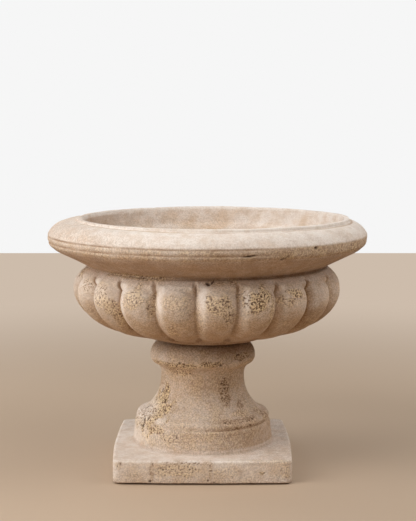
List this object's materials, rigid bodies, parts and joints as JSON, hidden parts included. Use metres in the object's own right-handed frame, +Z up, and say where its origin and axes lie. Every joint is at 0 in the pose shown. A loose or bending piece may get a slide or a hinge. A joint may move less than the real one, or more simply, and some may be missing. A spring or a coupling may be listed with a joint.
{
  "type": "urn planter",
  "caption": "Wide cast-stone urn planter: rolled rim, belt of raised lobes, turned pedestal and square plinth; it drains down through the pedestal.",
  "frame": {"origin": "on the floor, under the axis of the bowl's rim", "axes": "+Z up; -Y is the side the picture shows; the plinth's sides run along X and Y"},
  "size_m": [0.5598, 0.56, 0.44],
  "materials": {
    "cast_stone": "matt, weathered limewash over pitted cast stone",
    "mortar": "rough raked mortar",
    "pad_rubber": "matt black rubber"
  },
  "bodies": {
    "root": {"bowl": "cast_stone", "pedestal": "cast_stone", "mortar_bed": "mortar", "foot_pad_front_left": "pad_rubber", "foot_pad_front_right": "pad_rubber", "foot_pad_rear_left": "pad_rubber", "foot_pad_rear_right": "pad_rubber"}
  },
  "joints": []
}
